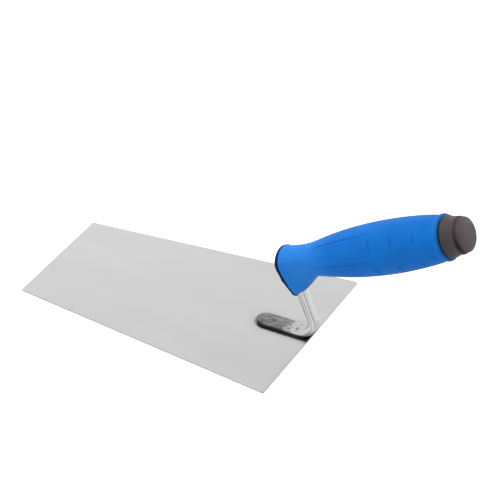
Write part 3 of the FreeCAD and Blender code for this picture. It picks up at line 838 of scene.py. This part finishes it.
def neck_and_tail(settings, neck_from):
    """Middle points and slopes of the neck, of the arc inside the nose and of the tail along the handle.

    The neck's line and the handle's axis meet in a corner, and the arc cuts it off at its tangent lengths.
    """
    sweep = math.pi / 2 + settings.lean
    up = np.array((math.cos(sweep), math.sin(sweep)))
    along, nose = ALONG_HANDLE[[0, 2]], NOSE_POINT[[0, 2]]
    gap = nose - neck_from
    rise = (gap[0] * along[1] - gap[1] * along[0]) / (up[0] * along[1] - up[1] * along[0])
    corner = neck_from + up * rise
    half_turn = (sweep - HANDLE_SLOPE) / 2
    cut = settings.tail_bend * math.tan(half_turn)
    neck = neck_from + up * np.linspace(0, rise - cut, NECK_RINGS)[1:, None]
    hub = corner - up * cut + settings.tail_bend * np.array((up[1], -up[0]))
    slopes = sweep - 2 * half_turn * np.linspace(0, 1, NOSE_RINGS)[1:]
    arc = hub + settings.tail_bend * np.stack([-np.sin(slopes), np.cos(slopes)], 1)
    to_end = nose + along * settings.tail_end - arc[-1]
    tail = arc[-1] + np.linspace(0, 1, TAIL_RINGS)[1:, None] * to_end
    turned = [np.full(len(neck), sweep), slopes, np.full(len(tail), HANDLE_SLOPE)]
    return np.vstack([neck, arc, tail]), np.concatenate(turned)


def bar_rings(settings):
    """Rings of the tang, from the foot's tip to the tail.

    Across its middle line lies a superellipse: the cosine and sine of the turn round it, each raised to a
    power of at most one, times half the width and half the height. It is squarish on the foot and round from
    the neck on. Points below the blade's face are lifted to it.
    """
    low_middle, low_slopes, low_form, low_narrow = foot_and_bend(settings)
    high_middle, high_slopes = neck_and_tail(settings, low_middle[-1])
    middle = np.vstack([low_middle, high_middle])
    turned = np.concatenate([low_slopes, high_slopes])
    form = np.concatenate([low_form, np.ones(len(high_middle))])
    narrow = np.concatenate([low_narrow, np.ones(len(high_middle))])

    turn = np.linspace(0, 2 * math.pi, 120, endpoint=False)
    cosine, sine = np.cos(turn)[None, :], np.sin(turn)[None, :]
    flat = settings.foot_height + settings.foot_sunk
    wide = (settings.foot_width + (settings.bar - settings.foot_width) * form) * narrow
    tip_drop = 0.62 + 0.38 * np.sqrt(np.clip(narrow, 0, 1))
    tall = (flat + (settings.bar - flat) * form) * tip_drop
    square = 2 / (FOOT_SIDE_POWER + (ROUND_POWER - FOOT_SIDE_POWER) * form)[:, None]
    shoulder = 2 / (FOOT_TOP_POWER + (ROUND_POWER - FOOT_TOP_POWER) * form)[:, None]
    across = np.sign(cosine) * np.abs(cosine) ** square * wide[:, None] / 2
    above = np.sign(sine) * np.abs(sine) ** np.where(sine > 0, shoulder, square) * tall[:, None] / 2
    dents = settings.dent_depth * (1 - form)[:, None] * dent_pattern(middle[:, 0, None], across)
    above = above + dents * np.clip(sine, 0, 1)
    x = middle[:, 0, None] - np.sin(turned)[:, None] * above
    z = middle[:, 1, None] + np.cos(turned)[:, None] * above
    return np.stack([x, across + 0 * x, np.maximum(z, BLADE_HIGH.z)], -1)


def dent_pattern(x, y):
    """Shallow forging dents: a sum of five slanted waves with seeded directions and phases, from -1 to 1."""
    source = np.random.default_rng(7)
    total = np.zeros(np.broadcast(x, y).shape)
    for pitch in (9.0, 6.5, 5.0, 3.6, 2.8):
        heading, phase = source.uniform(0, math.pi), source.uniform(0, 2 * math.pi)
        total += np.sin(2 * math.pi * (x * math.cos(heading) + y * math.sin(heading)) / (pitch * MM) + phase)
    return total / 5


def end_cap_rings(settings):
    """Rings of the end cap: a plug, a butt with a rounded edge, a flare, a waist, a groove and a knob.

    Each corner is a distance along the handle and a radius, in millimetres, and each cut rounds it.
    """
    radii = (settings.butt, settings.waist, settings.groove, settings.knob)
    butt, waist, groove, knob = (radius / MM for radius in radii)
    rounded_corners = [
        ((112.4, 8.1), 0.8),
        ((126.75, 8.1), 0.1),
        ((126.75, 12.6), 0.3),
        ((127.5, butt), 0.4),
        ((132.3, waist), 2.2),
        ((136.5, waist), 0.6),
        ((137.3, groove), 0.3),
        ((138.1, groove), 0.3),
        ((138.7, knob), 0.0001),
        ((139.7, knob), 0.99),
        ((142.4, 7.0), 1.8),
    ]
    corners = [(112.4, 0.0), *(corner for corner, _ in rounded_corners), (142.45, 0.0)]
    profile = rounded_path(corners, [cut for _, cut in rounded_corners], 9)[1:-1] * MM
    return turned_form(profile, 128)


def plate_outline(inset):
    """The front plate's egg, drawn in by an inset: two arcs about fixed centres joined by their tangents.

    It swells a little at the top of its sides and is pinched at the middle, each by a bell of its height.
    """
    top, low = PLATE_TOP_RADIUS - inset, PLATE_LOW_RADIUS - inset
    lean = math.asin((PLATE_TOP_RADIUS - PLATE_LOW_RADIUS) / (PLATE_TOP_RISE + PLATE_LOW_DROP))
    upper = np.linspace(-lean, math.pi + lean, 110)
    lower = np.linspace(math.pi + lean, 2 * math.pi - lean, 50)
    across = np.concatenate([top * np.cos(upper), low * np.cos(lower)])
    above = np.concatenate([PLATE_TOP_RISE + top * np.sin(upper), low * np.sin(lower) - PLATE_LOW_DROP])
    swell = 0.9 * bell(above / MM, 14.0, 3.0) - 1.9 * bell(above / MM, 2.5, 4.0)
    side = np.sign(across) * np.minimum(np.abs(across) / PLATE_TOP_RADIUS, 1.0)
    return across + side * swell * MM, above


def in_plate(depth, across, above):
    """Points given in the front plate's frame, turned and moved into the part's."""
    inward = np.array((math.cos(PLATE_LEAN), 0.0, math.sin(PLATE_LEAN)))
    upward = np.array((-math.sin(PLATE_LEAN), 0.0, math.cos(PLATE_LEAN)))
    depth, across, above = np.broadcast_arrays(depth, across, above)
    return PLATE_MIDDLE + depth[..., None] * inward + across[..., None] * ACROSS + above[..., None] * upward


def front_plate_skins(settings):
    """Skins of the front plate and its two pegs.

    The plate's edge profile, a depth and an inset, is carried round the egg. Its back has a flat groove where
    it faces the neck. Each peg is a turned profile along the plate's inward direction.
    """
    thick, flat, rounding = settings.plate / MM, 6.0, 1.6
    corners = [(0.0, flat), (0.0, rounding), (0.0, 0.0), (thick, 0.0), (thick, rounding), (thick, flat)]
    profile = rounded_path(corners, [0.3, 0.45, 0.18, 0.3], 6) * MM
    groove_half, groove_from, groove_depth = 4.1 * MM, 1.2 * MM, 0.65 * MM
    rings = []
    for depth, inset in profile:
        across, above = plate_outline(inset)
        in_groove = (np.abs(across) < groove_half) & (above < 0) & (depth > groove_from)
        rings.append(in_plate(np.where(in_groove, depth - groove_depth, depth), across, above))
    skins = [closed_skin(np.array(rings))]
    turn = np.linspace(0, 2 * math.pi, 24, endpoint=False)[None, :]
    peg_start, peg_end, peg_radius, peg_side, peg_height = 1.5, 6.2, 1.2, 6.6 * MM, 5.5 * MM
    corners = [(peg_start, 0.0), (peg_start, peg_radius), (peg_end, peg_radius), (peg_end, 0.0)]
    peg = rounded_path(corners, [0.05, 0.4], 5)[1:-1] * MM
    for side in (-1, 1):
        across = side * peg_side + peg[:, 1, None] * np.cos(turn)
        above = peg_height + peg[:, 1, None] * np.sin(turn)
        skins.append(closed_skin(in_plate(peg[:, 0, None] + 0 * turn, across, above)))
    return skins


class TROWEL_OT_blade(bpy.types.Operator):
    """Finishes the blade"""

    bl_idname = "trowel.blade"
    bl_label = "Finish blade"

    def execute(self, context):
        material = sheet_steel(context.scene.trowel_blade)
        finish_node("blade", material)
        return {"FINISHED"}


class TROWEL_OT_tang(bpy.types.Operator):
    """Builds the forged tang, and finishes its weld nuggets and the push-on washer on its tail"""

    bl_idname = "trowel.tang"
    bl_label = "Build tang"

    def execute(self, context):
        settings = context.scene.trowel_tang
        material = forged_steel(settings)
        add_piece("forged_tang", [closed_skin(bar_rings(settings))], material, ["tang"])
        finish_node("weld_nuggets", material)
        finish_node("lock_washer", spring_steel())
        return {"FINISHED"}


class TROWEL_OT_grip(bpy.types.Operator):
    """Builds the rubber grip, and finishes the hard core under it"""

    bl_idname = "trowel.grip"
    bl_label = "Build grip"

    def execute(self, context):
        settings = context.scene.trowel_grip
        skin = closed_skin(grip_rings(settings, context.scene.trowel_caps.plate), looped=True)
        add_piece("rubber_grip", [skin], grip_rubber(settings), ["grip_sleeve"])
        finish_node("handle_core", moulded_plastic("core_plastic", (0.03, 0.03, 0.035), 0.5))
        return {"FINISHED"}


class TROWEL_OT_caps(bpy.types.Operator):
    """Builds the moulded end cap and the front plate"""

    bl_idname = "trowel.caps"
    bl_label = "Build caps"

    def execute(self, context):
        settings = context.scene.trowel_caps
        knob = moulded_plastic("cap_plastic", settings.plastic, settings.roughness, striking=True)
        plate = moulded_plastic("plate_plastic", settings.plate_plastic, settings.roughness)
        add_piece("striking_cap", [closed_skin(end_cap_rings(settings))], knob, ["end_cap"])
        add_piece("front_plate", front_plate_skins(settings), plate, ["front_cap"])
        return {"FINISHED"}


class TROWEL_OT_stage(bpy.types.Operator):
    """Sets the pale floor, the soft light and the camera"""

    bl_idname = "trowel.stage"
    bl_label = "Set stage"

    def execute(self, context):
        settings = context.scene.trowel_stage
        add_floor(settings)
        add_light(settings)
        add_camera(settings)
        return {"FINISHED"}


def add_floor(settings):
    """A plain pale floor just under the blade, plain white to the camera and pale grey to the trowel."""
    reach = 4.0
    height = BLADE_LOW.z - 0.1 * MM
    mesh = bpy.data.meshes.new("floor")
    corners = [(-reach, -reach), (reach, -reach), (reach, reach), (-reach, reach)]
    mesh.from_pydata([(x, y, height) for x, y in corners], [], [(0, 1, 2, 3)])
    material, tree, shader = new_material(
        "pale_floor",
        Base_Color=(*settings.floor, 1.0),
        Roughness=0.9,
        Specular_IOR_Level=0.0,
        Emission_Color=(1.0, 1.0, 1.0, 1.0),
    )
    ray = tree.nodes.new("ShaderNodeLightPath")
    tree.links.new(ray.outputs["Is Camera Ray"], shader.inputs["Emission Strength"])
    mesh.materials.append(material)
    floor = bpy.data.objects.new("floor", mesh)
    bpy.context.scene.collection.objects.link(floor)


def add_light(settings):
    """A studio round the trowel: a bright backdrop, a dimmer room on the camera's side, a softbox overhead.

    The surroundings go from the backdrop's brightness to the room's with the direction's share towards the
    camera. What the camera sees past the floor is plain white.
    """
    to_camera, backdrop_up_to, room_from = (0.70, -0.49, 0.52), 0.35, 0.9
    white = (1.0, 1.0, 1.0, 1.0)
    world = bpy.data.worlds.new("studio")
    world.use_nodes = True
    tree = world.node_tree
    tree.nodes.clear()
    place = tree.nodes.new("ShaderNodeTexCoord")
    towards = tree.nodes.new("ShaderNodeVectorMath")
    towards.operation = "DOT_PRODUCT"
    towards.inputs[1].default_value = to_camera
    tree.links.new(place.outputs["Generated"], towards.inputs[0])
    share_towards = towards.outputs["Value"]
    brightness = remap(tree, share_towards, backdrop_up_to, room_from, settings.backdrop, settings.room)
    surroundings = tree.nodes.new("ShaderNodeBackground")
    surroundings.inputs["Color"].default_value = white
    tree.links.new(brightness, surroundings.inputs["Strength"])
    seen = tree.nodes.new("ShaderNodeBackground")
    seen.inputs["Color"].default_value = white
    ray = tree.nodes.new("ShaderNodeLightPath")
    choice = tree.nodes.new("ShaderNodeMixShader")
    out = tree.nodes.new("ShaderNodeOutputWorld")
    tree.links.new(ray.outputs["Is Camera Ray"], choice.inputs[0])
    tree.links.new(surroundings.outputs[0], choice.inputs[1])
    tree.links.new(seen.outputs[0], choice.inputs[2])
    tree.links.new(choice.outputs[0], out.inputs["Surface"])
    bpy.context.scene.world = world

    data = bpy.data.lights.new("softbox", "AREA")
    data.shape = "RECTANGLE"
    data.size, data.size_y = 1.2, 0.9
    data.energy = settings.softbox
    softbox = bpy.data.objects.new("softbox", data)
    bpy.context.scene.collection.objects.link(softbox)
    softbox.location = (0.1, -0.25, 1.5)
    aim = Vector((0.08, 0.0, 0.05)) - softbox.location
    softbox.rotation_euler = aim.to_track_quat("-Z", "Y").to_euler()


def add_camera(settings):
    """The camera, standing off the heel's near side and looking down at the trowel."""
    data = bpy.data.cameras.new("camera")
    data.sensor_width = 36.0
    data.lens = settings.lens
    data.clip_start, data.clip_end = 0.05, 20.0
    camera = bpy.data.objects.new("camera", data)
    camera.location = settings.camera_place
    camera.rotation_euler = (math.pi / 2 - settings.camera_drop, 0.0, settings.camera_turn)
    bpy.context.scene.collection.objects.link(camera)
    bpy.context.scene.camera = camera
    bpy.context.scene.view_settings.view_transform = "Standard"


class TROWEL_PT_panel(bpy.types.Panel):
    """Sizes, colours and build steps of the trowel"""

    bl_idname = "TROWEL_PT_panel"
    bl_label = "Finishing trowel"
    bl_space_type = "VIEW_3D"
    bl_region_type = "UI"
    bl_category = "Trowel"

    def draw(self, context):
        for name, operator in STEPS:
            box = self.layout.box()
            settings = getattr(context.scene, name)
            for item in settings.bl_rna.properties:
                if item.identifier not in ("name", "rna_type"):
                    box.prop(settings, item.identifier)
            box.operator(operator)


SETTINGS = {
    "trowel_blade": BladeSettings,
    "trowel_tang": TangSettings,
    "trowel_grip": GripSettings,
    "trowel_caps": CapSettings,
    "trowel_stage": StageSettings,
}
STEPS = (
    ("trowel_blade", "trowel.blade"),
    ("trowel_tang", "trowel.tang"),
    ("trowel_grip", "trowel.grip"),
    ("trowel_caps", "trowel.caps"),
    ("trowel_stage", "trowel.stage"),
)
CLASSES = (
    TROWEL_OT_blade,
    TROWEL_OT_tang,
    TROWEL_OT_grip,
    TROWEL_OT_caps,
    TROWEL_OT_stage,
    TROWEL_PT_panel,
)


def register():
    for group in SETTINGS.values():
        bpy.utils.register_class(group)
    for item in CLASSES:
        bpy.utils.register_class(item)
    for name, group in SETTINGS.items():
        setattr(bpy.types.Scene, name, PointerProperty(type=group))


def unregister():
    for name in SETTINGS:
        delattr(bpy.types.Scene, name)
    for item in reversed(CLASSES):
        bpy.utils.unregister_class(item)
    for group in reversed(list(SETTINGS.values())):
        bpy.utils.unregister_class(group)


def main():
    """Builds every piece and the stage."""
    register()
    bpy.ops.trowel.blade()
    bpy.ops.trowel.tang()
    bpy.ops.trowel.grip()
    bpy.ops.trowel.caps()
    bpy.ops.trowel.stage()


if __name__ == "__main__":
    main()
